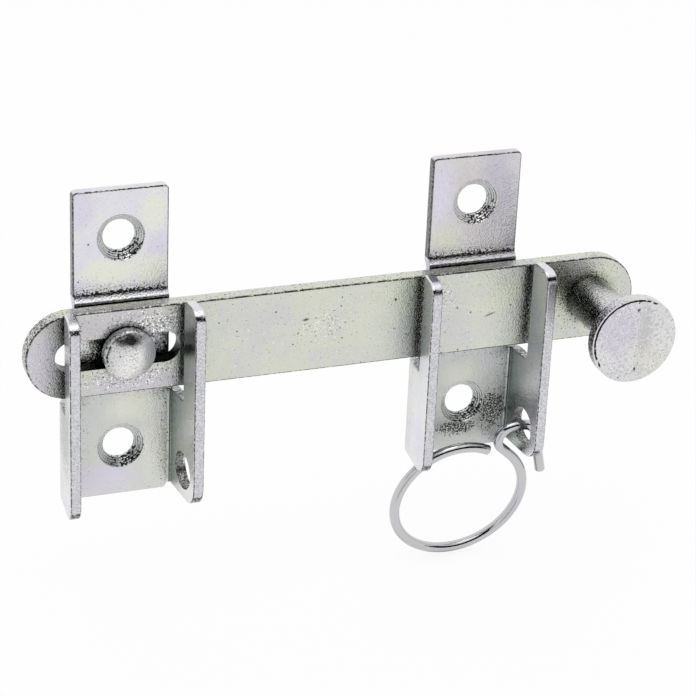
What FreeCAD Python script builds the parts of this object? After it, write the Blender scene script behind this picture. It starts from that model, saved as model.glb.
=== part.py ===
import FreeCAD, Part
import math
import os

# Slide-and-lift bar latch for a gate or stable door, in bright zinc-plated steel.
# Two folded brackets are screwed to the wall side by side. A flat bar hangs on a rivet in the
# left bracket by a long slot and lies in the open notches of both. A knob at its right end
# slides it, and a wire ring hooked in the right bracket can be laid over the knob.
# X runs along the bar, Y into the wall (the wall is Y = 0) and Z up. The origin is midway between
# the left bracket's two screws, on the wall.

# Bracket sheet and its back plate
SHEET = 3.0
TAB_WIDTH = 26.6
SCREW_SPACING = 62.5
TAB_ABOVE_SCREW = 14.0
PLATE_BELOW_SCREW = 15.0
SCREW_HOLE = 9.0
COUNTERSINK = 13.4
COUNTERSINK_ANGLE = 90.0
PLATE_CORNER = 1.4
EDGE_BREAK = 0.5

# The plate is swaged forward behind the bar, which leaves room for the rivet's tail
SWAGE_STEP = 1.5
SWAGE_SLOPE = 45.0
SWAGE_REACH = 2.0
CREASE_RADIUS = 1.0
TAB_CREASE_RADIUS = 3.4

# Cheeks, folded forward along the plate's edges and splayed, with a notch behind each post
CHEEK_DEPTH = 21.0
CHEEK_SPLAY = 5.0
BEND_RADIUS = 1.02
CHEEK_SHORT_OF_PLATE = 1.5
NOTCH_FRONT_CLEARANCE = 2.7
NOTCH_FLOOR_CLEARANCE = 3.5
NOTCH_CORNER = 1.5
POST_ABOVE_BAR = 1.9
POST_TOP_RADIUS = 3.6
POST_REAR_RADIUS = 1.0
CHEEK_BOTTOM_RADIUS = 6.0

# Eye in the right cheek of each bracket
EYE_HOLE = 11.0
EYE_FROM_PLATE = 9.7
EYE_ABOVE_CHEEK_BOTTOM = 8.6

# Latch bar, a flat with round ends and a slot at the left
BAR_HEIGHT = 25.0
BAR_THICKNESS = 4.5
BAR_LENGTH = 179.0
BAR_AXIS_HEIGHT = 0.75
BAR_EDGE = 0.6
BAR_REAR_CLEARANCE = 0.5
SLOT_HEIGHT = 9.0
SLOT_LENGTH = 35.0
BAR_LEFT_OF_RIVET = 28.0

# Keeper bracket, the same folding set to the left of the knob
KNOB_RIGHT_OF_KEEPER = 34.6

# Pivot rivet
RIVET_HEAD = 14.4
RIVET_HEAD_HEIGHT = 4.6
RIVET_HEAD_RIM = 2.2
RIVET_SLOT_CLEARANCE = 0.2
RIVET_END_CLEARANCE = 0.5
RIVET_NECK = 7.0
RIVET_RUNNING_CLEARANCE = 0.05
RIVET_TAIL = 11.0
RIVET_TAIL_HEIGHT = 1.2

# Pull knob, turned in one piece and riveted over at the back of the bar
KNOB_FROM_BAR_END = 13.9
KNOB_HEAD = 25.4
KNOB_REACH = 30.0
KNOB_RIM = 3.4
KNOB_CROWN = 0.6
KNOB_UNDERCUT = 1.6
KNOB_STEM = 13.4
KNOB_SPIGOT = 8.0
KNOB_TAIL = 11.0
KNOB_TAIL_HEIGHT = 1.6
KNOB_EDGE = 0.8

# Wire ring, bent in one plane that leans back to the wall, loose in the middle of the keeper's eye
WIRE = 3.0
RING_WALL_CLEARANCE = 0.2
RING_BEYOND_CHANNEL = 5.76
LEG_LENGTH = 15.3
LEG_BEND_RADIUS = 5.0
LEG_ANGLE = 74.0
LEG_BEND_INSIDE = 1.4
HOOK_INSIDE_RUN = 3.4
HOOK_RADIUS = 4.6
HOOK_ANGLE = 135.8
CROSS_RUN = 4.55
RING_ANGLE = 278.8
CLOSING_TIGHTER = 3.0
CLOSING_ANGLE = 66.0

# Places worked out from the sizes above
SPLAY = math.radians(CHEEK_SPLAY)
FOLD = math.pi / 2 - SPLAY
BEND_SETBACK = BEND_RADIUS * math.tan(FOLD / 2)
CHANNEL_INSIDE = TAB_WIDTH + 2 * BEND_SETBACK
RING_RADIUS = CHANNEL_INSIDE / 2 + RING_BEYOND_CHANNEL
TAB_FRONT = -SHEET
MID_FRONT = -SHEET - SWAGE_STEP
BAR_BACK = MID_FRONT - BAR_REAR_CLEARANCE
BAR_FRONT = BAR_BACK - BAR_THICKNESS
BAR_HALF = BAR_HEIGHT / 2
BAR_LEFT_CENTRE = BAR_HALF - BAR_LEFT_OF_RIVET
BAR_RIGHT_CENTRE = BAR_LEFT_CENTRE + BAR_LENGTH - BAR_HEIGHT
SLOT_RIGHT_CENTRE = BAR_LEFT_CENTRE + SLOT_LENGTH - SLOT_HEIGHT
KNOB_PLACE = BAR_RIGHT_CENTRE + BAR_HALF - KNOB_FROM_BAR_END
KEEPER_OFFSET = KNOB_PLACE - KNOB_RIGHT_OF_KEEPER
POST_BACK = BAR_FRONT - NOTCH_FRONT_CLEARANCE
TAB_TOP = SCREW_SPACING / 2 + TAB_ABOVE_SCREW
PLATE_BOTTOM = -SCREW_SPACING / 2 - PLATE_BELOW_SCREW
CHEEK_BOTTOM = PLATE_BOTTOM + CHEEK_SHORT_OF_PLATE
NOTCH_FLOOR = BAR_AXIS_HEIGHT - BAR_HALF - NOTCH_FLOOR_CLEARANCE
POST_TOP = BAR_AXIS_HEIGHT + BAR_HALF + POST_ABOVE_BAR
CHEEK_ALONG = FreeCAD.Vector(math.sin(SPLAY), -math.cos(SPLAY), 0)
CHEEK_OUT = FreeCAD.Vector(math.cos(SPLAY), math.sin(SPLAY), 0)
EYE_HEIGHT = CHEEK_BOTTOM + EYE_ABOVE_CHEEK_BOTTOM
EYE_INSIDE = (FreeCAD.Vector(CHANNEL_INSIDE / 2, TAB_FRONT, EYE_HEIGHT)
              + CHEEK_ALONG * (EYE_FROM_PLATE / math.cos(SPLAY)))
INTO_WALL = FreeCAD.Vector(0, 1, 0)
NEAR = 0.01


def prism(points, direction):
    """Closed outline of straight lines, pushed along a direction."""
    wire = Part.makePolygon(points + points[:1])
    return Part.Face(wire).extrude(direction)


def revolve(outline, axis_point):
    """Outline of (radius, y) pairs turned about an axis along Y."""
    points = [axis_point + FreeCAD.Vector(radius, y, 0) for radius, y in outline]
    face = Part.Face(Part.makePolygon(points + points[:1]))
    return face.revolve(axis_point, INTO_WALL, 360)


def edges_where(shape, test):
    """Edges whose middle point passes a test."""
    return [edge for edge in shape.Edges if test(edge.CenterOfMass)]


def sharp_rims(shape):
    """Outside edges where two faces of a solid meet about squarely."""
    step = 2 * NEAR
    found = []
    for edge in shape.Edges:
        middle = edge.valueAt((edge.FirstParameter + edge.LastParameter) / 2)
        faces = shape.ancestorsOfType(edge, Part.Face)
        first, second = [face.normalAt(*face.Surface.parameter(middle)) for face in faces]
        square = abs(first.dot(second)) < 0.5
        if square and not shape.isInside(middle + (first - second) * step, 1e-6, False):
            found.append(edge)
    return found


def stadium(left, right, radius):
    """Round-ended outline between two end centres, pushed through the bar's thickness."""
    def at(x, z):
        return FreeCAD.Vector(x, BAR_FRONT, BAR_AXIS_HEIGHT + z)

    outline = [
        Part.LineSegment(at(left, -radius), at(right, -radius)),
        Part.Arc(at(right, -radius), at(right + radius, 0), at(right, radius)),
        Part.LineSegment(at(right, radius), at(left, radius)),
        Part.Arc(at(left, radius), at(left - radius, 0), at(left, -radius)),
    ]
    wire = Part.Wire([curve.toShape() for curve in outline])
    return Part.Face(wire).extrude(INTO_WALL * BAR_THICKNESS)


def back_plate():
    """Strip with its tab on top, swaged forward behind the bar and back again below it."""
    half = TAB_WIDTH / 2
    reach = BAR_HALF + SWAGE_REACH
    run = SWAGE_STEP / math.tan(math.radians(SWAGE_SLOPE))
    mitre = SHEET * math.tan(math.radians(90 - SWAGE_SLOPE) / 2)
    upper, lower = BAR_AXIS_HEIGHT + reach, BAR_AXIS_HEIGHT - reach
    side = [
        (TAB_FRONT, TAB_TOP), (TAB_FRONT, upper), (MID_FRONT, upper - run),
        (MID_FRONT, lower + run), (TAB_FRONT, lower), (TAB_FRONT, PLATE_BOTTOM),
        (0, PLATE_BOTTOM), (0, lower + mitre), (-SWAGE_STEP, lower + run + mitre),
        (-SWAGE_STEP, upper - run - mitre), (0, upper - mitre), (0, TAB_TOP),
    ]
    points = [FreeCAD.Vector(-half, y, z) for y, z in side]
    strip = prism(points, FreeCAD.Vector(TAB_WIDTH, 0, 0))

    def crease(c):
        return abs(c.x) < NEAR and PLATE_BOTTOM + NEAR < c.z < TAB_TOP - NEAR

    tight = edges_where(strip, lambda c: crease(c) and abs(c.y - TAB_FRONT) > NEAR)
    strip = strip.makeFillet(CREASE_RADIUS, tight)
    hollow = edges_where(strip, lambda c: crease(c) and abs(c.y - TAB_FRONT) < NEAR)
    strip = strip.makeFillet(TAB_CREASE_RADIUS, hollow)
    corners = edges_where(
        strip, lambda c: abs(abs(c.x) - half) < NEAR and c.z in (TAB_TOP, PLATE_BOTTOM))
    strip = strip.makeFillet(PLATE_CORNER, corners)
    return strip.makeFillet(EDGE_BREAK, sharp_rims(strip))


def cheek_outline():
    """Side view of the cheeks: a foot along the plate and a post that rises in front of the bar."""
    beyond = 2 * SHEET
    front = -CHEEK_DEPTH
    half_width = CHANNEL_INSIDE / 2 + CHEEK_DEPTH
    side = [
        (beyond, CHEEK_BOTTOM), (front, CHEEK_BOTTOM), (front, POST_TOP),
        (POST_BACK, POST_TOP), (POST_BACK, NOTCH_FLOOR), (beyond, NOTCH_FLOOR),
    ]
    points = [FreeCAD.Vector(-half_width, y, z) for y, z in side]
    solid = prism(points, FreeCAD.Vector(2 * half_width, 0, 0))
    rounded = [
        (front, CHEEK_BOTTOM, CHEEK_BOTTOM_RADIUS), (front, POST_TOP, POST_TOP_RADIUS),
        (POST_BACK, POST_TOP, POST_REAR_RADIUS), (POST_BACK, NOTCH_FLOOR, NOTCH_CORNER),
    ]
    for y, z, radius in rounded:
        corner = edges_where(solid, lambda c: abs(c.y - y) < NEAR and abs(c.z - z) < NEAR)
        solid = solid.makeFillet(radius, corner)
    return solid


def cheeks():
    """U-shaped fold of the lower plate and its two splayed cheeks, cut to their side view."""
    inner_corner = FreeCAD.Vector(CHANNEL_INSIDE / 2, TAB_FRONT, 0)
    centre = FreeCAD.Vector(TAB_WIDTH / 2, TAB_FRONT - BEND_RADIUS, 0)
    outside = BEND_RADIUS + SHEET
    half_fold = FreeCAD.Vector(math.sin(FOLD / 2), math.cos(FOLD / 2), 0)
    inner_end = inner_corner + CHEEK_ALONG * CHEEK_DEPTH
    outer_end = inner_end + CHEEK_OUT * SHEET
    inner_foot, outer_foot = centre + CHEEK_OUT * BEND_RADIUS, centre + CHEEK_OUT * outside
    middle_front, middle_back = FreeCAD.Vector(0, TAB_FRONT, 0), FreeCAD.Vector(0, 0, 0)
    plate_front, plate_back = centre + INTO_WALL * BEND_RADIUS, centre + INTO_WALL * outside
    outline = [
        Part.LineSegment(middle_front, plate_front),
        Part.Arc(plate_front, centre + half_fold * BEND_RADIUS, inner_foot),
        Part.LineSegment(inner_foot, inner_end),
        Part.LineSegment(inner_end, outer_end),
        Part.LineSegment(outer_end, outer_foot),
        Part.Arc(outer_foot, centre + half_fold * outside, plate_back),
        Part.LineSegment(plate_back, middle_back),
        Part.LineSegment(middle_back, middle_front),
    ]
    wire = Part.Wire([curve.toShape() for curve in outline])
    half = Part.Face(wire).extrude(FreeCAD.Vector(0, 0, POST_TOP - CHEEK_BOTTOM))
    half.translate(FreeCAD.Vector(0, 0, CHEEK_BOTTOM))
    other = half.mirror(FreeCAD.Vector(0, 0, 0), FreeCAD.Vector(1, 0, 0))
    folded = half.fuse(other).common(cheek_outline()).removeSplitter().Solids[0]
    return folded.makeFillet(EDGE_BREAK, sharp_rims(folded))


def countersunk_hole(height):
    """Screw hole through the plate with its cone at the front face."""
    flare = (COUNTERSINK - SCREW_HOLE) / 2
    depth = flare / math.tan(math.radians(COUNTERSINK_ANGLE / 2))
    front = FreeCAD.Vector(0, TAB_FRONT, height)
    hole = Part.makeCylinder(SCREW_HOLE / 2, SHEET, front, INTO_WALL)
    cone = Part.makeCone(COUNTERSINK / 2, SCREW_HOLE / 2, depth, front, INTO_WALL)
    return hole.fuse(cone)


def bracket():
    """One folded bracket about its own middle, before the pivot hole."""
    body = back_plate().fuse(cheeks()).removeSplitter()
    for height in (SCREW_SPACING / 2, -SCREW_SPACING / 2):
        body = body.cut(countersunk_hole(height))
    eye_start = EYE_INSIDE - CHEEK_OUT * SHEET
    return body.cut(Part.makeCylinder(EYE_HOLE / 2, 3 * SHEET, eye_start, CHEEK_OUT))


def latch_bar():
    """Flat bar with round ends, the slot round the rivet and the hole for the knob's spigot."""
    bar = stadium(BAR_LEFT_CENTRE, BAR_RIGHT_CENTRE, BAR_HALF)
    bar = bar.makeFillet(BAR_EDGE, sharp_rims(bar))
    slot = stadium(BAR_LEFT_CENTRE, SLOT_RIGHT_CENTRE, SLOT_HEIGHT / 2)
    spigot_start = FreeCAD.Vector(KNOB_PLACE, BAR_FRONT, BAR_AXIS_HEIGHT)
    spigot = Part.makeCylinder(KNOB_SPIGOT / 2, BAR_THICKNESS, spigot_start, INTO_WALL)
    return bar.cut(slot).cut(spigot)


def dome(radius, rim, height, foot):
    """Low domed head: a short rim and a spherical crown, facing away from the wall."""
    rise = height - rim
    sphere = (radius ** 2 + rise ** 2) / (2 * rise)
    disc = Part.makeCylinder(radius, height, foot, -INTO_WALL)
    return disc.common(Part.makeSphere(sphere, foot + INTO_WALL * (sphere - height)))


def pivot_rivet():
    """Shouldered rivet: head before the bar, shank in the slot, neck peened behind the plate."""
    axis = FreeCAD.Vector(0, 0, BAR_AXIS_HEIGHT)
    head_base = BAR_FRONT - RIVET_END_CLEARANCE
    shoulder = MID_FRONT - RIVET_RUNNING_CLEARANCE
    tail_base = RIVET_RUNNING_CLEARANCE - SWAGE_STEP
    tail_end = tail_base + RIVET_TAIL_HEIGHT
    shank = SLOT_HEIGHT / 2 - RIVET_SLOT_CLEARANCE
    neck = RIVET_NECK / 2
    tail = RIVET_TAIL / 2
    outline = [
        (0, head_base), (shank, head_base), (shank, shoulder), (neck, shoulder),
        (neck, tail_base), (tail, tail_base), (tail - RIVET_TAIL_HEIGHT / 2, tail_end), (0, tail_end),
    ]
    head = dome(RIVET_HEAD / 2, RIVET_HEAD_RIM, RIVET_HEAD_HEIGHT, axis + INTO_WALL * head_base)
    return revolve(outline, axis).fuse(head).removeSplitter()


def pull_knob():
    """Turned knob on the bar's right end: crowned disc, stem and a spigot riveted behind."""
    axis = FreeCAD.Vector(KNOB_PLACE, 0, BAR_AXIS_HEIGHT)
    head_front = BAR_FRONT - KNOB_REACH
    head_back = head_front + KNOB_RIM
    tail_end = BAR_BACK + KNOB_TAIL_HEIGHT
    head, stem, spigot, tail = KNOB_HEAD / 2, KNOB_STEM / 2, KNOB_SPIGOT / 2, KNOB_TAIL / 2
    outline = [
        (0, head_front), (head, head_front), (head, head_back),
        (stem, head_back + KNOB_UNDERCUT), (stem, BAR_FRONT), (spigot, BAR_FRONT), (spigot, BAR_BACK),
        (tail, BAR_BACK), (tail - KNOB_TAIL_HEIGHT / 2, tail_end), (0, tail_end),
    ]
    body = revolve(outline, axis)
    body = body.makeFillet(KNOB_EDGE, edges_where(body, lambda c: abs(c.y - head_back) < NEAR))
    crown_foot = axis + INTO_WALL * (head_front + KNOB_EDGE)
    crown = dome(head, KNOB_EDGE, KNOB_EDGE + KNOB_CROWN, crown_foot)
    return body.fuse(crown).removeSplitter()


def locking_ring():
    """Wire ring: outer leg, run through the eye, hook, near-full loop and a closing end."""
    bend = math.radians(LEG_ANGLE)
    runs_and_bends = [
        (LEG_LENGTH, LEG_BEND_RADIUS, LEG_ANGLE),
        (HOOK_INSIDE_RUN - LEG_BEND_INSIDE, HOOK_RADIUS, HOOK_ANGLE),
        (CROSS_RUN, RING_RADIUS, -RING_ANGLE),
        (0, RING_RADIUS - CLOSING_TIGHTER, -CLOSING_ANGLE),
    ]
    start = FreeCAD.Vector(
        LEG_BEND_RADIUS * math.sin(bend) + LEG_LENGTH * math.cos(bend) - LEG_BEND_INSIDE, 0,
        LEG_BEND_RADIUS * (math.cos(bend) - 1) - LEG_LENGTH * math.sin(bend))
    spot, heading = start, math.pi - bend
    path = []
    for run, radius, degrees in runs_and_bends:
        ahead = FreeCAD.Vector(math.cos(heading), 0, math.sin(heading))
        if run:
            path.append(Part.LineSegment(spot, spot + ahead * run).toShape())
            spot = spot + ahead * run
        turn = math.radians(degrees)
        side = math.copysign(radius, turn)
        centre = spot + FreeCAD.Vector(-ahead.z, 0, ahead.x) * side
        halfway, end = [
            centre + FreeCAD.Vector(math.sin(angle), 0, -math.cos(angle)) * side
            for angle in (heading + turn / 2, heading + turn)]
        path.append(Part.Arc(spot, halfway, end).toShape())
        spot, heading = end, heading + turn
    centreline = Part.Wire(path)
    along = FreeCAD.Vector(-math.cos(bend), 0, math.sin(bend))
    section = Part.Wire(Part.Circle(start, along, WIRE / 2).toShape())
    ring = centreline.makePipeShell([section], True, False)
    eye = EYE_INSIDE + CHEEK_OUT * (SHEET / 2) + FreeCAD.Vector(KEEPER_OFFSET, 0, 0)
    room = -eye.y - WIRE / 2 - RING_WALL_CLEARANCE
    lean = math.degrees(math.asin(room / -centreline.BoundBox.ZMin))
    ring.rotate(FreeCAD.Vector(0, 0, 0), FreeCAD.Vector(1, 0, 0), lean)
    ring.translate(eye)
    return ring


def build():
    """Every piece by its name, in its place."""
    plain = bracket()
    neck_start = FreeCAD.Vector(0, MID_FRONT - SHEET, BAR_AXIS_HEIGHT)
    neck_hole = RIVET_NECK / 2 + RIVET_RUNNING_CLEARANCE
    keeper = plain.copy()
    keeper.translate(FreeCAD.Vector(KEEPER_OFFSET, 0, 0))
    return {
        "pivot_bracket": plain.cut(Part.makeCylinder(neck_hole, 3 * SHEET, neck_start, INTO_WALL)),
        "keeper_bracket": keeper,
        "latch_bar": latch_bar(),
        "pivot_rivet": pivot_rivet(),
        "pull_knob": pull_knob(),
        "locking_ring": locking_ring(),
    }


os.makedirs("parts", exist_ok=True)
for name, shape in build().items():
    shape.exportStep(f"parts/{name}.step")
    print(name, len(shape.Solids), shape.isValid(), round(shape.Volume, 1))
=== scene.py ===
import math

import bpy
from mathutils import Matrix

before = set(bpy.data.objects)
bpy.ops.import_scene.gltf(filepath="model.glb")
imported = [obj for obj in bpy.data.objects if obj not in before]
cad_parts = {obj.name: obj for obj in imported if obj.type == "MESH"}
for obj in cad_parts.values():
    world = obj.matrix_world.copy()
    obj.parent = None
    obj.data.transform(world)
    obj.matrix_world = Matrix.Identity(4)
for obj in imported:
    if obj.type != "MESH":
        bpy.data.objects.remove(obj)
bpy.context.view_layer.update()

# Folded brackets: two strips of 3 mm mild steel sheet, punched, folded to a channel with two notched cheeks
# and swaged forward below the tab, then barrel-plated with bright zinc. Two countersunk screws hold each.


def linear(hex_colour):
    """An sRGB hex colour as linear RGBA."""
    parts = [int(hex_colour[i:i + 2], 16) / 255 for i in (1, 3, 5)]
    return [c / 12.92 if c <= 0.04045 else ((c + 0.055) / 1.055) ** 2.4 for c in parts] + [1.0]


def add(tree, kind, settings=None, **links):
    """Adds a node to the tree with its settings. Each input is set to a value or linked from a socket, and
    goes by its name, or by an underscore and its number."""
    node = tree.nodes.new(kind)
    for name, value in (settings or {}).items():
        setattr(node, name, value)
    for name, value in links.items():
        socket = node.inputs[int(name[1:])] if name[1:].isdigit() else node.inputs[name.replace("_", " ")]
        if isinstance(value, bpy.types.NodeSocket):
            tree.links.new(value, socket)
        else:
            socket.default_value = value
    return node


def bare_tree(owner):
    """The emptied node tree of a new material or world."""
    owner.use_nodes = True
    owner.node_tree.nodes.clear()
    return owner.node_tree


def per_metre(size_mm):
    """A noise scale whose features are about size_mm across."""
    return 1000.0 / size_mm


def by_side(tree, facing, ahead, aside):
    """One value on faces that look ahead, up or down, going over to another on faces that look sideways."""
    turned = add(tree, "ShaderNodeVectorMath", {"operation": "ABSOLUTE"}, _0=facing)
    turned = add(tree, "ShaderNodeSeparateXYZ", Vector=turned.outputs[0])
    return add(tree, "ShaderNodeMapRange", Value=turned.outputs[0], From_Min=0.3, From_Max=0.9, To_Min=ahead,
               To_Max=aside).outputs[0]


LAVENDER_CLOUD_MM, STRAW_CLOUD_MM, PIT_SPACING_MM = 14, 10, 4.0
RECESS_REACH, CREVICE_REACH = 0.016, 0.004


def zinc_plate(name, tones, rough, grain_mm, grain_height, marks, metallic=None):
    """Bright zinc plate on steel: a soft mirror that the grain of the steel breaks into specks, with faint
    clouds of lavender and straw where the passivated film is thicker, and a few pits. Painted shade darkens
    the tint towards the shade tone in recesses, most on faces that look sideways, and further in crevices.
    The steel's grain is really about 0.1 mm and is drawn at 0.4 to 0.55 mm, so that it shows. Tones are
    plate, lavender, straw and shade; some marks add what a tool or use left on the piece to its tint and its
    height, and some add painted shade and reflections."""
    material = bpy.data.materials.new(name)
    tree = bare_tree(material)
    spot = add(tree, "ShaderNodeTexCoord")
    place, facing = spot.outputs["Object"], spot.outputs["Normal"]
    plate, lavender, straw, shade_tone = [linear(t) for t in tones]

    clouds = add(tree, "ShaderNodeTexNoise", Vector=place, Scale=per_metre(LAVENDER_CLOUD_MM), Detail=3.0,
                 Roughness=0.55)
    lilac = add(tree, "ShaderNodeMapRange", Value=clouds.outputs["Fac"], From_Min=0.4, From_Max=0.66)
    straw_clouds = add(tree, "ShaderNodeTexNoise", {"noise_dimensions": "4D"}, Vector=place, W=3.7,
                       Scale=per_metre(STRAW_CLOUD_MM), Detail=3.0, Roughness=0.6)
    yellow = add(tree, "ShaderNodeMapRange", Value=straw_clouds.outputs["Fac"], From_Min=0.5, From_Max=0.72)
    tint = add(tree, "ShaderNodeMix", {"data_type": "RGBA"}, Factor=lilac.outputs[0], _6=plate, _7=lavender)
    tint = add(tree, "ShaderNodeMix", {"data_type": "RGBA"}, Factor=yellow.outputs[0], _6=tint.outputs[2],
               _7=straw)

    grain = add(tree, "ShaderNodeTexNoise", Vector=place, Scale=per_metre(grain_mm), Detail=2.0,
                Roughness=0.6)
    pores = add(tree, "ShaderNodeTexVoronoi", Vector=place, Scale=per_metre(PIT_SPACING_MM))
    pits = add(tree, "ShaderNodeMapRange", Value=pores.outputs["Distance"], From_Min=0.075, From_Max=0.05)
    tint = add(tree, "ShaderNodeMix", {"data_type": "RGBA"}, Factor=pits.outputs[0], _6=tint.outputs[2],
               _7=linear("#3a3a38"))
    tint, height = tint.outputs[2], grain.outputs["Fac"]
    for mark in marks:
        tint, height = mark(tree, place, facing, tint, height)

    # Painted shade: the tint goes over to the greenish shade tone in recesses, most on faces that look
    # sideways.
    recess = add(tree, "ShaderNodeAmbientOcclusion", {"samples": 4}, Distance=RECESS_REACH)
    recess_shade = add(tree, "ShaderNodeMapRange", Value=recess.outputs["AO"], From_Min=0.9, From_Max=0.6)
    recess_shade = add(tree, "ShaderNodeMath", {"operation": "MULTIPLY"}, _0=recess_shade.outputs[0],
                 _1=by_side(tree, facing, 0.2, 1.0))
    recess_shade_tint = add(tree, "ShaderNodeMix", {"data_type": "RGBA"}, Factor=recess_shade.outputs[0], _6=linear("#ffffff"),
               _7=shade_tone)
    tint = add(tree, "ShaderNodeMix", {"data_type": "RGBA", "blend_type": "MULTIPLY"}, Factor=1.0, _6=tint,
               _7=recess_shade_tint.outputs[2])
    # Painted shade: the tint darkens further in crevices, where pieces or folds meet.
    shelter = add(tree, "ShaderNodeAmbientOcclusion", {"samples": 4}, Distance=CREVICE_REACH)
    crevice_shade = add(tree, "ShaderNodeMapRange", Value=shelter.outputs["AO"], From_Min=0.2, From_Max=0.75,
                To_Min=0.1, To_Max=1.0)
    tint = add(tree, "ShaderNodeMix", {"data_type": "RGBA", "blend_type": "MULTIPLY"}, Factor=1.0,
               _6=tint.outputs[2], _7=crevice_shade.outputs[0])

    bump = add(tree, "ShaderNodeBump", Height=height, Strength=1.0, Distance=grain_height)
    gloss = add(tree, "ShaderNodeMapRange", Value=clouds.outputs["Fac"], From_Min=0.3, From_Max=0.7,
                To_Min=rough[0], To_Max=rough[1])
    metal = metallic(tree, place, facing) if metallic else 1.0
    shader = add(tree, "ShaderNodeBsdfPrincipled", Base_Color=tint.outputs[2], Metallic=metal,
                 Roughness=gloss.outputs[0], Normal=bump.outputs[0])
    add(tree, "ShaderNodeOutputMaterial", Surface=shader.outputs[0])
    return material


def oval(tree, place, middle_mm, half_mm, lean=0.0, most=1.0):
    """A soft oval patch on a piece: most in its middle, 0 outside it, with a wandering outline."""
    local = add(tree, "ShaderNodeMapping", {"vector_type": "TEXTURE"}, Vector=place, Rotation=(0, lean, 0),
                Location=[c / 1000 for c in middle_mm], Scale=[c / 1000 for c in half_mm])
    away = add(tree, "ShaderNodeVectorMath", {"operation": "LENGTH"}, _0=local.outputs[0])
    wander = add(tree, "ShaderNodeTexNoise", Vector=place, Scale=per_metre(min(half_mm)), Detail=3.0)
    away = add(tree, "ShaderNodeMath", {"operation": "MULTIPLY_ADD"}, _0=wander.outputs["Fac"], _1=0.9,
               _2=away.outputs["Value"])
    return add(tree, "ShaderNodeMapRange", Value=away.outputs[0], From_Min=1.5, From_Max=0.9,
               To_Max=most).outputs[0]


def patched(tree, place, tint, patches):
    """A tint with oval patches of other colours laid over it."""
    for middle, half, colour, *lean in patches:
        patch = oval(tree, place, middle, half, *lean)
        tint = add(tree, "ShaderNodeMix", {"data_type": "RGBA"}, Factor=patch, _6=tint,
                   _7=linear(colour)).outputs[2]
    return tint


def speckle(tree, place, tint, colour, share, size_mm):
    """Specks of a colour strewn over a tint: none where share is 0, closed where it is 1. Dirt, nicks and
    torn grain are really about 0.1 mm and are drawn at 0.35 mm or more, so that they show; painted shade
    and reflections are laid down in the same specks."""
    dots = add(tree, "ShaderNodeTexNoise", Vector=place, Scale=per_metre(size_mm), Detail=1.0, Roughness=0.6)
    dense = add(tree, "ShaderNodeMath", {"operation": "MULTIPLY_ADD"}, _0=share, _1=0.55,
                _2=dots.outputs["Fac"])
    dense = add(tree, "ShaderNodeMapRange", Value=dense.outputs[0], From_Min=0.74, From_Max=0.82)
    return add(tree, "ShaderNodeMix", {"data_type": "RGBA"}, Factor=dense.outputs[0], _6=tint,
               _7=linear(colour)).outputs[2]


# Where tools and use left their marks, and where shade and reflections are painted: places in metres,
# patches in millimetres as middle, half size and what they are. The radii are a hair over the real ones, so
# that a wall is taken in with its edge.
KEEPER_OFFSET = 0.1025
SCREW_HEIGHT = 0.03125
COUNTERSINK_RADIUS = 0.00673
DRILL_RING_MM = 0.5
CHEEK_FRONT = -0.021
TAB_HALF_WIDTH = 0.0133
TAB_FOOT = 0.0153
SWAGE_HALF_HEIGHT = 0.0016
EYE_FRONT, EYE_HEIGHT, EYE_RADIUS = -0.01257, -0.03615, 0.00555
SHADE_REACH = 0.007
STRAW, LAVENDER = "#e4e5da", "#d9d5e2"
FILM_PATCHES = (
    ((102.5, -3, 31), (24, 8, 26), "#d1cdcf"), ((0, -3, -33), (24, 8, 26), "#d6d7d3"),
    ((102.5, -3, -33), (24, 8, 26), "#cccdcb"), ((-11, -3, 40), (5, 6, 8), LAVENDER),
    ((11, -3, 28), (5, 6, 5), LAVENDER), ((-4.5, -3, 22), (8, 6, 5), STRAW),
    ((9, -3, 38), (4.5, 6, 7), STRAW), ((9, -3, 21), (5, 6, 5), STRAW),
    ((109, -3, 36), (8, 6, 12), "#c6c3cd"), ((92, -3, 35), (5, 6, 10), LAVENDER),
    ((94.5, -3, 21), (6, 6, 5), "#d6d7cb"), ((5, -3, -19), (11, 6, 5.5), STRAW),
    ((-5, -3, -40.5), (12, 6, 6), LAVENDER), ((10, -3, -31), (5.5, 6, 13), STRAW),
    ((-18, -12, -19), (1.5, 14, 17), "#a3a8a5"), ((101, -3, -22), (9, 6, 5), "#d8d9cf"))
# Painted dark reflections of the ring and the cheek on the keeper's plate: middle, half size and how dense.
RING_REFLECTION_PATCHES = (((112, -3, -35), (6, 1.8, 9), 0.55), ((101, -3, -39.5), (9, 1.8, 3.4), 0.57))


def film_patches(tree, place, facing, tint, height):
    """Straw and lavender patches of the passivated film on tabs and plates."""
    return patched(tree, place, tint, FILM_PATCHES), height


def crevice_shade_specks(tree, place, facing, tint, height):
    """Dark specks of painted shade that thicken towards the corners where pieces or folds meet."""
    shelter = add(tree, "ShaderNodeAmbientOcclusion", {"samples": 4}, Distance=SHADE_REACH)
    painted_shade = add(tree, "ShaderNodeMapRange", Value=shelter.outputs["AO"], From_Min=0.9, From_Max=0.4,
               To_Max=0.8)
    painted_shade = add(tree, "ShaderNodeMath", {"operation": "MULTIPLY"}, _0=painted_shade.outputs[0],
               _1=by_side(tree, facing, 1.0, 0.3))
    return speckle(tree, place, tint, "#2b2b29", painted_shade.outputs[0], 0.6), height


def ring_reflections(tree, place, facing, tint, height):
    """Painted dark reflections of the ring and the cheek on the keeper's plate, in specks."""
    for middle, half, dense in RING_REFLECTION_PATCHES:
        reflected = oval(tree, place, middle, half, most=dense)
        tint = speckle(tree, place, tint, "#3a3a36", reflected, 0.5)
    return tint, height


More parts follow.
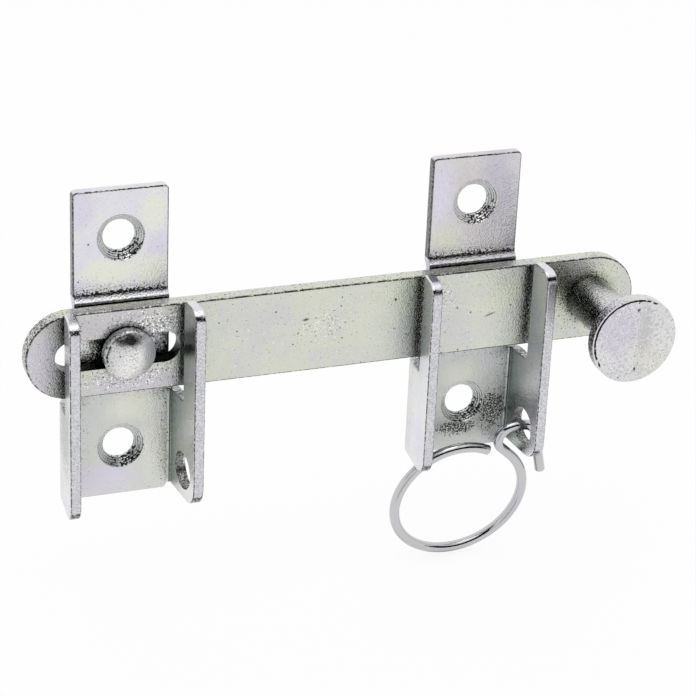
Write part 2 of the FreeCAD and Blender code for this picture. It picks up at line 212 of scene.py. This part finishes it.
def dark_edge_lines(tree, place, facing, tint, height):
    """A dark broken line follows the rounded edges of the front, and a fine one the creases of the folds. The
    swage above the bar stays bright."""
    turned = add(tree, "ShaderNodeSeparateXYZ", Vector=facing)
    off_slant = add(tree, "ShaderNodeMath", {"operation": "ADD"}, _0=turned.outputs[1], _1=0.7)
    off_slant = add(tree, "ShaderNodeMath", {"operation": "ABSOLUTE"}, _0=off_slant.outputs[0])
    x, y, z = add(tree, "ShaderNodeSeparateXYZ", Vector=place).outputs
    behind = add(tree, "ShaderNodeMath", {"operation": "GREATER_THAN"}, _0=y, _1=CHEEK_FRONT / 3)
    crease = add(tree, "ShaderNodeMath", {"operation": "LESS_THAN"}, _0=z, _1=0.0)
    crease = add(tree, "ShaderNodeMath", {"operation": "MULTIPLY"}, _0=crease.outputs[0],
                 _1=behind.outputs[0])
    line_edge = add(tree, "ShaderNodeMapRange", Value=crease.outputs[0], To_Min=0.3, To_Max=0.16)
    line_core = add(tree, "ShaderNodeMapRange", Value=crease.outputs[0], To_Min=0.22, To_Max=0.08)
    corner = add(tree, "ShaderNodeMapRange", Value=off_slant.outputs[0], From_Min=line_edge.outputs[0],
                 From_Max=line_core.outputs[0])
    off_swage = add(tree, "ShaderNodeMath", {"operation": "SUBTRACT"}, _0=z, _1=TAB_FOOT)
    off_swage = add(tree, "ShaderNodeMath", {"operation": "ABSOLUTE"}, _0=off_swage.outputs[0])
    off_swage = add(tree, "ShaderNodeMath", {"operation": "GREATER_THAN"}, _0=off_swage.outputs[0],
                    _1=SWAGE_HALF_HEIGHT)
    broken = add(tree, "ShaderNodeTexNoise", Vector=place, Scale=per_metre(0.8), Detail=2.0, Roughness=0.6)
    broken = add(tree, "ShaderNodeMapRange", Value=broken.outputs["Fac"], From_Min=0.37, From_Max=0.54,
                 To_Min=0.2, To_Max=0.95)
    broken = add(tree, "ShaderNodeMix", Factor=crease.outputs[0], _2=broken.outputs[0], _3=0.92)
    dark_line = add(tree, "ShaderNodeMath", {"operation": "MULTIPLY"}, _0=corner.outputs[0],
                _1=off_swage.outputs[0])
    dark_line = add(tree, "ShaderNodeMath", {"operation": "MULTIPLY"}, _0=dark_line.outputs[0], _1=broken.outputs[0])
    tint = add(tree, "ShaderNodeMix", {"data_type": "RGBA"}, Factor=dark_line.outputs[0], _6=tint,
               _7=linear("#2e2e2c"))
    return tint.outputs[2], height


def across_bracket(tree, x):
    """How far a point is from the middle line of the bracket that it is on."""
    from_pivot = add(tree, "ShaderNodeMath", {"operation": "ABSOLUTE"}, _0=x)
    from_keeper = add(tree, "ShaderNodeMath", {"operation": "SUBTRACT"}, _0=x, _1=KEEPER_OFFSET)
    from_keeper = add(tree, "ShaderNodeMath", {"operation": "ABSOLUTE"}, _0=from_keeper.outputs[0])
    return add(tree, "ShaderNodeMath", {"operation": "MINIMUM"}, _0=from_pivot.outputs[0],
               _1=from_keeper.outputs[0]).outputs[0]


def drilled(tree, place, facing, tint, height):
    """The countersinks keep the rings of the drill and, at their lower right, dark specks on the faces that
    look up and to the left. The rings are really about 0.1 mm apart and are drawn wider, so that they show."""
    x, y, z = add(tree, "ShaderNodeSeparateXYZ", Vector=place).outputs
    off_screw = add(tree, "ShaderNodeMath", {"operation": "ABSOLUTE"}, _0=z)
    off_screw = add(tree, "ShaderNodeMath", {"operation": "SUBTRACT"}, _0=off_screw.outputs[0],
                    _1=SCREW_HEIGHT)
    from_screw = add(tree, "ShaderNodeCombineXYZ", X=across_bracket(tree, x), Y=off_screw.outputs[0])
    radius = add(tree, "ShaderNodeVectorMath", {"operation": "LENGTH"}, _0=from_screw.outputs[0])
    in_cone = add(tree, "ShaderNodeMath", {"operation": "LESS_THAN"}, _0=radius.outputs["Value"],
                  _1=COUNTERSINK_RADIUS)
    off_back = add(tree, "ShaderNodeMath", {"operation": "LESS_THAN"}, _0=y, _1=-0.0001)
    in_cone = add(tree, "ShaderNodeMath", {"operation": "MULTIPLY"}, _0=in_cone.outputs[0],
                  _1=off_back.outputs[0])
    rings = add(tree, "ShaderNodeMath", {"operation": "MULTIPLY"}, _0=radius.outputs["Value"],
                _1=2 * math.pi * per_metre(DRILL_RING_MM))
    rings = add(tree, "ShaderNodeMath", {"operation": "SINE"}, _0=rings.outputs[0])
    ringed = add(tree, "ShaderNodeMapRange", Value=rings.outputs[0], From_Min=-1.0, From_Max=1.0)
    steel = add(tree, "ShaderNodeMix", {"data_type": "RGBA"}, Factor=ringed.outputs[0], _6=linear("#b4b5b5"),
                _7=linear("#eeeeee"))
    low_right = add(tree, "ShaderNodeVectorMath", {"operation": "DOT_PRODUCT"}, _0=facing, _1=(-0.5, 0, 0.87))
    low_right_specks = add(tree, "ShaderNodeMapRange", Value=low_right.outputs["Value"], From_Min=0.0, From_Max=0.65,
                  To_Min=0.04, To_Max=0.48)
    steel = speckle(tree, place, steel.outputs[2], "#2f2f2f", low_right_specks.outputs[0], 0.7)
    tint = add(tree, "ShaderNodeMix", {"data_type": "RGBA"}, Factor=in_cone.outputs[0], _6=tint, _7=steel)
    cut_rings = add(tree, "ShaderNodeMath", {"operation": "MULTIPLY"}, _0=rings.outputs[0],
                    _1=in_cone.outputs[0])
    height = add(tree, "ShaderNodeMath", {"operation": "MULTIPLY_ADD"}, _0=cut_rings.outputs[0], _1=0.3,
                 _2=height)
    return tint.outputs[2], height.outputs[0]


def torn_grain(tree, place, dark, pale, size_mm=0.45, low=0.34, high=0.64):
    """The torn grain of a cut edge in two tones, drawn coarser than its real 0.1 mm, so that it shows."""
    torn_and_reflected = add(tree, "ShaderNodeTexNoise", Vector=place, Scale=per_metre(size_mm), Detail=1.0, Roughness=0.7)
    torn_and_reflected = add(tree, "ShaderNodeMapRange", Value=torn_and_reflected.outputs["Fac"], From_Min=low, From_Max=high)
    return add(tree, "ShaderNodeMix", {"data_type": "RGBA"}, Factor=torn_and_reflected.outputs[0], _6=linear(dark),
               _7=linear(pale)).outputs[2]


def sheared(tree, place, facing, tint, height):
    """Cut edges of the sheet: a pale even grain on the cheeks' fronts, a dark torn one on the tabs' sides."""
    x, y, z = add(tree, "ShaderNodeSeparateXYZ", Vector=place).outputs
    front = add(tree, "ShaderNodeMapRange", Value=y, From_Min=CHEEK_FRONT + 0.0006,
                From_Max=CHEEK_FRONT + 0.0003)
    turned = add(tree, "ShaderNodeSeparateXYZ", Vector=facing)
    flat = add(tree, "ShaderNodeMapRange", Value=turned.outputs[1], From_Min=-0.86, From_Max=-0.96)
    front = add(tree, "ShaderNodeMath", {"operation": "MULTIPLY"}, _0=front.outputs[0], _1=flat.outputs[0])
    side = add(tree, "ShaderNodeMapRange", Value=across_bracket(tree, x), From_Min=TAB_HALF_WIDTH - 0.0005,
               From_Max=TAB_HALF_WIDTH - 0.0002)
    on_tab = add(tree, "ShaderNodeMath", {"operation": "GREATER_THAN"}, _0=z, _1=TAB_FOOT)
    side = add(tree, "ShaderNodeMath", {"operation": "MULTIPLY"}, _0=side.outputs[0], _1=on_tab.outputs[0])
    tint = add(tree, "ShaderNodeMix", {"data_type": "RGBA"}, Factor=front.outputs[0], _6=tint,
               _7=torn_grain(tree, place, "#bababf", "#d8d8dc"))
    tint = add(tree, "ShaderNodeMix", {"data_type": "RGBA"}, Factor=side.outputs[0], _6=tint.outputs[2],
               _7=torn_grain(tree, place, "#2a2a2a", "#8c8c8e"))
    smooth_front = add(tree, "ShaderNodeMapRange", Value=front.outputs[0], To_Min=1.0, To_Max=0.4)
    height = add(tree, "ShaderNodeMath", {"operation": "MULTIPLY"}, _0=height, _1=smooth_front.outputs[0])
    return tint.outputs[2], height.outputs[0]


def torn_eyes_with_shade(tree, place, facing, tint, height):
    """The eyes are punched, so their walls are torn; the torn grain is dark, as painted shade inside the
    hole.
    """
    along_cheek = add(tree, "ShaderNodeVectorMath", {"operation": "MULTIPLY"}, _0=place, _1=(0, 1, 1))
    from_eye = add(tree, "ShaderNodeVectorMath", {"operation": "DISTANCE"}, _0=along_cheek.outputs[0],
                   _1=(0, EYE_FRONT, EYE_HEIGHT))
    in_eye = add(tree, "ShaderNodeMath", {"operation": "LESS_THAN"}, _0=from_eye.outputs["Value"],
                 _1=EYE_RADIUS)
    wall = add(tree, "ShaderNodeVectorMath", {"operation": "MULTIPLY"}, _0=facing, _1=(0, 1, 1))
    wall = add(tree, "ShaderNodeVectorMath", {"operation": "LENGTH"}, _0=wall.outputs[0])
    wall = add(tree, "ShaderNodeMath", {"operation": "GREATER_THAN"}, _0=wall.outputs["Value"], _1=0.7)
    in_eye = add(tree, "ShaderNodeMath", {"operation": "MULTIPLY"}, _0=in_eye.outputs[0], _1=wall.outputs[0])
    tint = add(tree, "ShaderNodeMix", {"data_type": "RGBA"}, Factor=in_eye.outputs[0], _6=tint,
               _7=torn_grain(tree, place, "#232322", "#b8b8b6"))
    return tint.outputs[2], height


def swage_shade(tree, place, facing, tint, height):
    """Painted shade in dark specks at the tab's foot, above the swage."""
    x, y, z = add(tree, "ShaderNodeSeparateXYZ", Vector=place).outputs
    low = add(tree, "ShaderNodeMapRange", Value=z, From_Min=TAB_FOOT + 0.004, From_Max=TAB_FOOT + 0.0002,
              To_Max=0.8)
    on_tab = add(tree, "ShaderNodeMath", {"operation": "GREATER_THAN"}, _0=z, _1=TAB_FOOT)
    painted_shade = add(tree, "ShaderNodeMath", {"operation": "MULTIPLY"}, _0=low.outputs[0], _1=on_tab.outputs[0])
    painted_shade = add(tree, "ShaderNodeMath", {"operation": "MULTIPLY"}, _0=painted_shade.outputs[0], _1=low.outputs[0])
    return speckle(tree, place, tint, "#3e3e3b", painted_shade.outputs[0], 0.48), height


def plate_frost(tree, place, facing):
    """How metallic the sheet looks: the lower plates, between the cheeks, have a frosted film."""
    x, y, z = add(tree, "ShaderNodeSeparateXYZ", Vector=place).outputs
    turned = add(tree, "ShaderNodeSeparateXYZ", Vector=facing)
    ahead = add(tree, "ShaderNodeMapRange", Value=turned.outputs[1], From_Min=-0.8, From_Max=-0.95)
    behind = add(tree, "ShaderNodeMapRange", Value=y, From_Min=CHEEK_FRONT / 2, From_Max=CHEEK_FRONT / 3)
    low = add(tree, "ShaderNodeMapRange", Value=z, From_Min=0.0, From_Max=-0.012)
    frost = add(tree, "ShaderNodeMath", {"operation": "MULTIPLY"}, _0=ahead.outputs[0], _1=behind.outputs[0])
    frost = add(tree, "ShaderNodeMath", {"operation": "MULTIPLY"}, _0=frost.outputs[0], _1=low.outputs[0])
    return add(tree, "ShaderNodeMapRange", Value=frost.outputs[0], To_Min=1.0, To_Max=0.62).outputs[0]


# Bright zinc on folded sheet: a clear soft mirror with lavender and straw clouds, grainy on the cut edges,
# with painted shade that makes it greenish and darker between the cheeks.
sheet_zinc = zinc_plate(
    "bright_zinc_on_folded_sheet", tones=("#e2e2e3", "#dcd9e5", "#e2e3d9", "#a4b7ae"), rough=(0.12, 0.18),
    grain_mm=0.45, grain_height=0.00012, metallic=plate_frost,
    marks=(film_patches, crevice_shade_specks, ring_reflections, dark_edge_lines, drilled, sheared, torn_eyes_with_shade, swage_shade))
for bracket in ("pivot_bracket", "keeper_bracket"):
    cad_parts[bracket].material_slots[0].material = sheet_zinc

# Latch bar: a length of 25 by 4.5 mm flat steel with sheared round ends and a slot punched at the left,
# zinc-plated. It hangs on the rivet by its slot and lies in the brackets' notches.
SLOT_LEFT, SLOT_RIGHT, SLOT_MIDDLE, SLOT_RADIUS = -0.0155, 0.0105, 0.00075, 0.00454
LEFT_END_LENGTH = 0.008
STAINS = (
    ((-23, -9.5, -1), (8, 4, 13), "#d0ccd4"), ((-3, -9.5, 9), (22, 4, 7), "#c9c6ca"),
    ((2, -9.5, -9.5), (22, 4, 6), "#ccc9cf"), ((51, -9.5, 4), (1.2, 2, 0.45), "#5d5e56", -0.12),
    ((77.4, -9.5, 7), (0.55, 2, 0.5), "#4c4d47"), ((106.4, -9.5, -0.9), (2.1, 2, 0.4), "#8a8b82", -0.3),
    ((70, -9.5, 8.8), (6, 2, 2.6), "#d2d3c7", 0.35))
SCUFFS = (
    ((6, -9.5, 7.5), (15, 3, 6.5), 0.34), ((0, -9.5, -7), (19, 3, 5), 0.27),
    ((56, -9.5, 1.5), (12, 3, 6), 0.2), ((90, -9.5, 6), (8, 3, 6), 0.24))
# Painted shade of the knob on the bar: middle and half size.
KNOB_SHADE, KNOB_SHADE_HALF = (128, -9.5, 7), (6, 3, 8)
# The white scuffs take another part of the noise than the nicks, so that they lie beside them.
SCUFFS_ASIDE = (0.3, 0.3, 0.3)


def stains_scuffs_and_knob_shade(tree, place, facing, tint, height):
    """A few stains, fine specks all over, white scuffs and dark nicks round the rivet and along the bar,
    and painted shade of the knob on the bar round its foot."""
    tint = patched(tree, place, tint, STAINS)
    tint = speckle(tree, place, tint, "#8f9188", 0.14, 0.5)
    for middle, half, dense in SCUFFS:
        scuff = oval(tree, place, middle, half, most=dense)
        tint = speckle(tree, place, tint, "#6f7069", scuff, 0.55)
        aside = add(tree, "ShaderNodeVectorMath", {"operation": "ADD"}, _0=place, _1=SCUFFS_ASIDE)
        tint = speckle(tree, aside.outputs[0], tint, "#ffffff", scuff, 0.45)
    knob_shade = oval(tree, place, KNOB_SHADE, KNOB_SHADE_HALF, most=0.36)
    return speckle(tree, place, tint, "#30312e", knob_shade, 0.5), height


def sheared_sides(tree, place, facing, tint, height):
    """The bar's cut sides are grainy, most of all round its left end."""
    x, y, z = add(tree, "ShaderNodeSeparateXYZ", Vector=place).outputs
    turned = add(tree, "ShaderNodeSeparateXYZ", Vector=facing)
    side = add(tree, "ShaderNodeMath", {"operation": "ABSOLUTE"}, _0=turned.outputs[1])
    side = add(tree, "ShaderNodeMath", {"operation": "LESS_THAN"}, _0=side.outputs[0], _1=0.6)
    left_end = add(tree, "ShaderNodeMapRange", Value=x, From_Min=SLOT_LEFT,
                   From_Max=SLOT_LEFT - LEFT_END_LENGTH, To_Min=0.24, To_Max=0.5)
    torn_and_reflected = add(tree, "ShaderNodeMath", {"operation": "MULTIPLY"}, _0=side.outputs[0], _1=left_end.outputs[0])
    return speckle(tree, place, tint, "#4a4b46", torn_and_reflected.outputs[0], 0.5), height


def torn_slot_with_reflection(tree, place, facing, tint, height):
    """The slot is punched, so its walls are torn; the torn grain is dark, as a painted dark reflection."""
    x, y, z = add(tree, "ShaderNodeSeparateXYZ", Vector=place).outputs
    along = add(tree, "ShaderNodeClamp", Value=x, Min=SLOT_LEFT, Max=SLOT_RIGHT)
    middle = add(tree, "ShaderNodeCombineXYZ", X=along.outputs[0], Z=SLOT_MIDDLE)
    flat = add(tree, "ShaderNodeVectorMath", {"operation": "MULTIPLY"}, _0=place, _1=(1, 0, 1))
    away = add(tree, "ShaderNodeVectorMath", {"operation": "DISTANCE"}, _0=flat.outputs[0],
               _1=middle.outputs[0])
    in_slot = add(tree, "ShaderNodeMath", {"operation": "LESS_THAN"}, _0=away.outputs["Value"],
                  _1=SLOT_RADIUS)
    tint = add(tree, "ShaderNodeMix", {"data_type": "RGBA"}, Factor=in_slot.outputs[0], _6=tint,
               _7=torn_grain(tree, place, "#262625", "#7e7e7b", 0.5, 0.4, 0.7))
    return tint.outputs[2], height


# Bright zinc on rolled flat: a little greener and softer than the sheet, with specks, stains and scuffs.
bar_zinc = zinc_plate(
    "bright_zinc_on_rolled_flat", tones=("#d3d6c8", "#cfcfd0", "#d5d8c6", "#bfc6be"), rough=(0.14, 0.22),
    grain_mm=0.45, grain_height=0.00012,
    marks=(stains_scuffs_and_knob_shade, sheared_sides, torn_slot_with_reflection, crevice_shade_specks, dark_edge_lines))
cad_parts["latch_bar"].material_slots[0].material = bar_zinc

# Pivot rivet: a cold-headed steel rivet with a low dome, zinc-plated. It goes through the bar's slot into
# the pivot bracket's plate, where its tail is peened over, and the bar slides and turns on it.
RIVET_AXIS = (0.0, 0.00075)
RIVET_HEAD_RADIUS = 0.0072
# Painted reflections on the head: a grey one on its right side and a dark one at its top.
RIVET_GREY_REFLECTION, RIVET_GREY_REFLECTION_HALF = (5.4, -12, 0), (3.2, 6, 7)
RIVET_DARK_REFLECTION, RIVET_DARK_REFLECTION_HALF = (-0.2, -12.4, 5.7), (4.6, 6, 2.0)


def from_axis(tree, place, axis):
    """Distance of a point from the axis of a turned piece, which stands square on the bar."""
    flat = add(tree, "ShaderNodeVectorMath", {"operation": "MULTIPLY"}, _0=place, _1=(1, 0, 1))
    away = add(tree, "ShaderNodeVectorMath", {"operation": "DISTANCE"}, _0=flat.outputs[0],
               _1=(axis[0], 0, axis[1]))
    return away.outputs["Value"]


def top_left_line(tree, place, axis, line_radius, half_width, most=1.0):
    """A line round a head, full at its upper left and gone at its lower right."""
    off_line = add(tree, "ShaderNodeMath", {"operation": "SUBTRACT"}, _0=from_axis(tree, place, axis),
                   _1=line_radius)
    off_line = add(tree, "ShaderNodeMath", {"operation": "ABSOLUTE"}, _0=off_line.outputs[0])
    line = add(tree, "ShaderNodeMapRange", Value=off_line.outputs[0], From_Min=2 * half_width,
               From_Max=half_width)
    along = add(tree, "ShaderNodeVectorMath", {"operation": "DOT_PRODUCT"}, _0=place, _1=(-0.707, 0, 0.707))
    centre = 0.707 * (axis[1] - axis[0])
    there = add(tree, "ShaderNodeMapRange", Value=along.outputs["Value"],
                From_Min=centre - 0.25 * line_radius, From_Max=centre + 0.85 * line_radius, To_Max=most)
    return add(tree, "ShaderNodeMath", {"operation": "MULTIPLY"}, _0=line.outputs[0],
               _1=there.outputs[0]).outputs[0]


def headed_rivet(tree, place, facing, tint, height):
    """A dark line round the dome where the heading die closed, a painted dark reflection along its upper left
    edge, a painted grey reflection on its right side and a painted dark reflection at its top."""
    rim = add(tree, "ShaderNodeMapRange", Value=from_axis(tree, place, RIVET_AXIS),
              From_Min=RIVET_HEAD_RADIUS - 0.0007, From_Max=RIVET_HEAD_RADIUS - 0.0003, To_Max=0.4)
    tint = speckle(tree, place, tint, "#5a5a58", rim.outputs[0], 0.6)
    # Painted dark reflection along the upper left edge of the head.
    line = top_left_line(tree, place, RIVET_AXIS, RIVET_HEAD_RADIUS - 0.0008, 0.0002, 0.7)
    tint = speckle(tree, place, tint, "#4a4a48", line, 1.0)
    tint = speckle(tree, place, tint, "#bdbdbf", 0.34, 0.45)
    tint = patched(tree, place, tint, ((RIVET_GREY_REFLECTION, RIVET_GREY_REFLECTION_HALF, "#c0c0c2"),))
    tint = speckle(tree, place, tint, "#6e6e6e", 0.12, 0.4)
    tint = patched(tree, place, tint, ((RIVET_DARK_REFLECTION, RIVET_DARK_REFLECTION_HALF, "#3c3c3a"),))
    dark_reflection = oval(tree, place, RIVET_DARK_REFLECTION, RIVET_DARK_REFLECTION_HALF, most=0.45)
    return speckle(tree, place, tint, "#0e0e0e", dark_reflection, 0.35), height


def frosted_head(tree, place, facing):
    """How metallic the head looks: frosted by the die's blow, a little less where the grey reflection is
    painted on its right side.
    """
    grey_side = oval(tree, place, RIVET_GREY_REFLECTION, RIVET_GREY_REFLECTION_HALF)
    return add(tree, "ShaderNodeMapRange", Value=grey_side, To_Min=0.6, To_Max=0.75).outputs[0]


# Bright zinc on a headed rivet: paler than the rest and frosted, so it shows soft light more than the room.
rivet_zinc = zinc_plate(
    "bright_zinc_on_headed_rivet", tones=("#ededed", "#e8e8ea", "#ecebe6", "#c4c8c5"), rough=(0.08, 0.11),
    grain_mm=0.55, grain_height=0.0002, marks=(headed_rivet,), metallic=frosted_head)
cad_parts["pivot_rivet"].material_slots[0].material = rivet_zinc

# Pull knob: turned from round steel bar, with a thin flat head to pull by, zinc-plated. Its stem ends in a
# spigot that goes through the bar's right end and is riveted over behind it.
KNOB_AXIS = (0.1371, 0.00075)
KNOB_HEAD_RADIUS = 0.0127
KNOB_CLOUDS = (
    ((131.5, -40, 5), (9, 6, 9), "#cfcbd6"), ((140, -40, 1), (2.6, 6, 12), "#c4c3c2"),
    ((142.5, -40, -6), (6, 6, 6), "#d8d8cf"), ((137.6, -40, 10), (0.6, 4, 0.6), "#3a3a38"),
    ((137.8, -40, -8), (0.45, 4, 1.1), "#4a4a48"))


def turned_knob(tree, place, facing, tint, height):
    """The face is clouded and peppered with small dents. A painted dark reflection edges it at its top left,
    and another lies in dark specks on the left of the rim and of the stem."""
    tint = patched(tree, place, tint, KNOB_CLOUDS)
    tint = speckle(tree, place, tint, "#c3c2c4", 0.36, 0.9)
    tint = speckle(tree, place, tint, "#f0f0f0", 0.24, 0.42)
    tint = speckle(tree, place, tint, "#848484", 0.14, 0.4)

    turned = add(tree, "ShaderNodeSeparateXYZ", Vector=facing)
    face = add(tree, "ShaderNodeMath", {"operation": "LESS_THAN"}, _0=turned.outputs[1], _1=-0.3)
    # Painted dark reflection along the face's top left edge.
    line = top_left_line(tree, place, KNOB_AXIS, KNOB_HEAD_RADIUS - 0.0007, 0.0002)
    line = add(tree, "ShaderNodeMath", {"operation": "MULTIPLY"}, _0=line, _1=face.outputs[0])
    tint = speckle(tree, place, tint, "#232322", line.outputs[0], 1.0)

    # Painted dark reflection, in specks, on the left of the rim and of the stem.
    side = add(tree, "ShaderNodeMath", {"operation": "GREATER_THAN"}, _0=turned.outputs[1], _1=-0.5)
    left = add(tree, "ShaderNodeMapRange", Value=turned.outputs[0], From_Min=-0.1, From_Max=-0.95,
               To_Max=0.66)
    torn_and_reflected = add(tree, "ShaderNodeMath", {"operation": "MULTIPLY"}, _0=side.outputs[0], _1=left.outputs[0])
    return speckle(tree, place, tint, "#2a2a29", torn_and_reflected.outputs[0], 0.45), height


# Bright zinc on a turned knob: a pale face with lavender and grey clouds under fine pale and dark specks.
knob_zinc = zinc_plate(
    "bright_zinc_on_turned_knob", tones=("#dcdbdb", "#d6d4d8", "#dddcd5", "#c6c9c7"), rough=(0.12, 0.18),
    grain_mm=0.5, grain_height=0.00012, marks=(turned_knob,))
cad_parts["pull_knob"].material_slots[0].material = knob_zinc

# Locking ring: one length of 3 mm drawn steel wire, bent round a mandrel and zinc-plated. Its end is hooked
# through the keeper's eye, where it hangs and swings.

# Bright zinc on drawn wire: the smoothest piece, so the white and the dark of the room show as streaks.
wire_zinc = zinc_plate(
    "bright_zinc_on_drawn_wire", tones=("#c6c6c9", "#c1c1c7", "#c7c6c2", "#bfc1bf"), rough=(0.05, 0.09),
    grain_mm=0.4, grain_height=0.00002, marks=())
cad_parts["locking_ring"].material_slots[0].material = wire_zinc

# Photographer's table: a wide flat top painted matt white, just below the ring. It shows as white and keeps
# the latch's faint shadow, and the metal doesn't mirror it.
FLOOR_HEIGHT, FLOOR_HALF = -0.0823, 4
FLOOR_WHITENESS = 0.88


def seen_directly(tree):
    """1 where a surface is seen, by the camera or in metal or glass, and 0 where it only gives light."""
    seen = add(tree, "ShaderNodeLightPath")
    direct = add(tree, "ShaderNodeMath", {"operation": "MAXIMUM"}, _0=seen.outputs["Is Camera Ray"],
                 _1=seen.outputs["Is Glossy Ray"])
    return add(tree, "ShaderNodeMath", {"operation": "MAXIMUM"}, _0=direct.outputs[0],
               _1=seen.outputs["Is Transmission Ray"]).outputs[0]


def set_sheet(name, points, faces, finish):
    """A sheet of the photographer's set."""
    mesh = bpy.data.meshes.new(name)
    mesh.from_pydata(points, [], faces)
    mesh.materials.append(finish)
    sheet = bpy.data.objects.new(name, mesh)
    bpy.context.scene.collection.objects.link(sheet)
    return sheet


# Matt white paint: even and without gloss, nearly white wherever it is seen.
floor_paint = bpy.data.materials.new("white_table_paint")
tree = bare_tree(floor_paint)
share = add(tree, "ShaderNodeMath", {"operation": "MULTIPLY"}, _0=seen_directly(tree), _1=FLOOR_WHITENESS)
white = add(tree, "ShaderNodeEmission", Color=linear("#ffffff"), Strength=1.0)
matt = add(tree, "ShaderNodeBsdfDiffuse", Color=linear("#f4f4f4"))
mixed = add(tree, "ShaderNodeMixShader", Fac=share.outputs[0], _1=matt.outputs[0], _2=white.outputs[0])
add(tree, "ShaderNodeOutputMaterial", Surface=mixed.outputs[0])
floor_corners = [(FLOOR_HALF * x, FLOOR_HALF * y, FLOOR_HEIGHT)
                 for x, y in ((-1, -1), (1, -1), (1, 1), (-1, 1))]
floor = set_sheet("floor", floor_corners, [(0, 1, 2, 3)], floor_paint)
floor.visible_glossy = False

# White room: painted walls all round that give an even light, a touch below the white that they are seen
# as. Most of the light on the latch comes from them.
room = bpy.data.worlds.new("white_room")
bpy.context.scene.world = room
tree = bare_tree(room)
level = add(tree, "ShaderNodeMapRange", Value=seen_directly(tree), To_Min=0.95, To_Max=1.0)
light = add(tree, "ShaderNodeBackground", Color=linear("#ffffff"), Strength=level.outputs[0])
add(tree, "ShaderNodeOutputWorld", Surface=light.outputs[0])

# Camera: a long lens at the photograph's angle, a little above the latch and to its left. Its place, turn
# and focal length were solved together with the latch's sizes.
CAMERA_PLACE = (-0.16537, -0.60209, 0.29382)
CAMERA_TURN, CAMERA_TILT, CAMERA_ROLL = -21.139, -25.28, -2.572
PICTURE_WIDTH, FOCAL_PIXELS = 696.0, 2517.08
turn = (Matrix.Rotation(math.radians(CAMERA_TURN), 3, "Z")
        @ Matrix.Rotation(math.radians(CAMERA_TILT), 3, "X")
        @ Matrix.Rotation(math.radians(CAMERA_ROLL), 3, "Y"))
right, forward, up = turn.col
lens = bpy.data.cameras.new("long_lens")
lens.sensor_width = 36.0
lens.lens = lens.sensor_width * FOCAL_PIXELS / PICTURE_WIDTH
camera = bpy.data.objects.new("camera", lens)
camera.matrix_world = (Matrix.Translation(CAMERA_PLACE)
                       @ Matrix((right, up, -forward)).transposed().to_4x4())
bpy.context.scene.collection.objects.link(camera)
bpy.context.scene.camera = camera

# Overhead softbox: a lamp behind cloth, nearly a metre above the latch and a little in front of it, tipped
# forward. It gives the faint shadow its direction.
overhead = bpy.data.lights.new("overhead_softbox", "AREA")
overhead.shape = "RECTANGLE"
overhead.size = 0.7
overhead.size_y = 0.5
overhead.energy = 1.5
lamp = bpy.data.objects.new("overhead_softbox", overhead)
lamp.location = (-0.1, -0.25, 0.9)
lamp.rotation_euler = (math.radians(-14), 0, 0)
bpy.context.scene.collection.objects.link(lamp)

# Studio cards: curved sheets of cloth in front of the latch that only its metal sees, two nearly black ones
# for the unlit side of the room and a grey flag low at the left. Turn is from straight ahead of the latch
# towards its right, rise is above the level, both in degrees.
CARD_CENTRE, CARD_DISTANCE = 0.06, 1.5
CARD_STEPS = 8


def studio_card(name, turns, rises, grey):
    points = []
    for rise in (rises[0], (rises[0] + rises[1]) / 2, rises[1]):
        for step in range(CARD_STEPS + 1):
            t = math.radians(turns[0] + (turns[1] - turns[0]) * step / CARD_STEPS)
            r = math.radians(rise)
            points.append((CARD_CENTRE + CARD_DISTANCE * math.sin(t) * math.cos(r),
                           -CARD_DISTANCE * math.cos(t) * math.cos(r), CARD_DISTANCE * math.sin(r)))
    row = CARD_STEPS + 1
    faces = [(i, i + 1, i + row + 1, i + row) for start in (0, row) for i in range(start, start + CARD_STEPS)]

    # Matt cloth: one even tone with no gloss, whatever light falls on it.
    cloth = bpy.data.materials.new(name + "_cloth")
    tree = bare_tree(cloth)
    glow = add(tree, "ShaderNodeEmission", Color=linear(grey), Strength=1.0)
    add(tree, "ShaderNodeOutputMaterial", Surface=glow.outputs[0])
    card = set_sheet(name, points, faces, cloth)
    card.visible_camera = False
    card.visible_diffuse = False
    card.visible_transmission = False
    card.visible_shadow = False


studio_card("unlit_room", (-35, 58), (3, 38), "#101110")
studio_card("unlit_corner", (-68, -35), (18, 42), "#101110")
studio_card("grey_flag", (-50, -20), (-45, -6), "#d2d5d3")

bpy.context.scene.view_settings.view_transform = "Standard"
